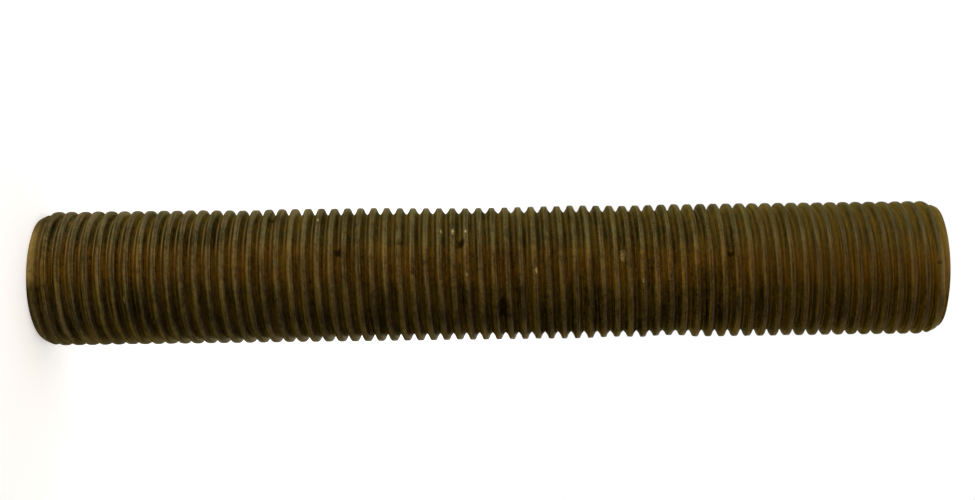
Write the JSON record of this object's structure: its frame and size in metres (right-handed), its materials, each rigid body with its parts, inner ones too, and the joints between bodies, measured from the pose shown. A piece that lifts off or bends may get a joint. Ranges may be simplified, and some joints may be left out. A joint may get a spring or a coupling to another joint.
{
  "type": "lamp nipple",
  "caption": "Straight brass tube with a fine external thread from end to end, chamfered ends and a plain bore for a lamp's wires.",
  "frame": {"origin": "centre of the lower end face, on the tube's axis", "axes": "+Z along the tube's axis, from the lower end to the upper one; the tube stands on its lower end"},
  "size_m": [0.0096, 0.0096, 0.064],
  "materials": {
    "aged_brass": "aged satin, dark in the grooves"
  },
  "bodies": {
    "root": {"threaded_tube": "aged_brass"}
  },
  "joints": []
}
